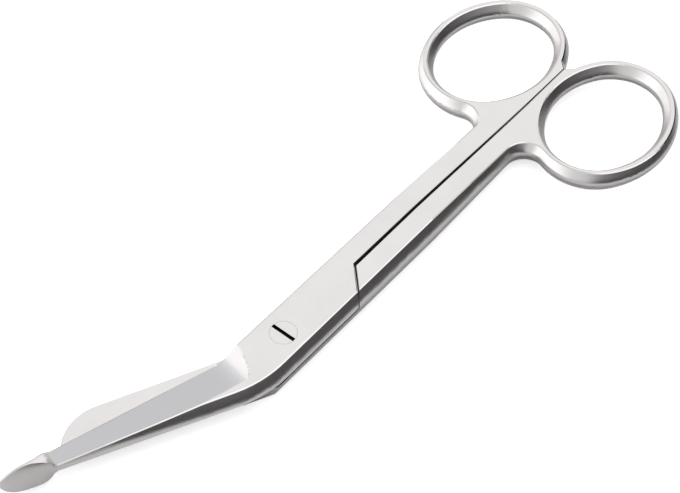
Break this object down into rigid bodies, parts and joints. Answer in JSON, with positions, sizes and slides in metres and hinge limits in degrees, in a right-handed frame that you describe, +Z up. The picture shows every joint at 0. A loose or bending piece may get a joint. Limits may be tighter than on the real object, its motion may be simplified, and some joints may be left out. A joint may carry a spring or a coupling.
{
  "type": "bandage scissors",
  "caption": "Angled steel bandage scissors with finger rings, a lapped screw joint, a blunt lower blade and a longer blade that ends in a flattened probe.",
  "frame": {"origin": "on the pivot's axis, at the flat underside of the box joint", "axes": "+X along the shanks from the finger rings towards the blades, +Z up along the pivot's axis out of the slotted screw head, and the blades bend towards -Y"},
  "size_m": [0.1442, 0.0522, 0.0065],
  "materials": {
    "satin_steel": "satin stainless steel"
  },
  "bodies": {
    "lower": {"blunt_half": "satin_steel", "pivot_screw": "satin_steel"},
    "upper": {"probe_half": "satin_steel"}
  },
  "joints": [
    {"name": "pivot", "type": "hinge", "parent": "lower", "child": "upper", "pos_m": [0, 0, 0.00325], "axis": [0, 0, 1], "range_deg": [0, 60]}
  ]
}
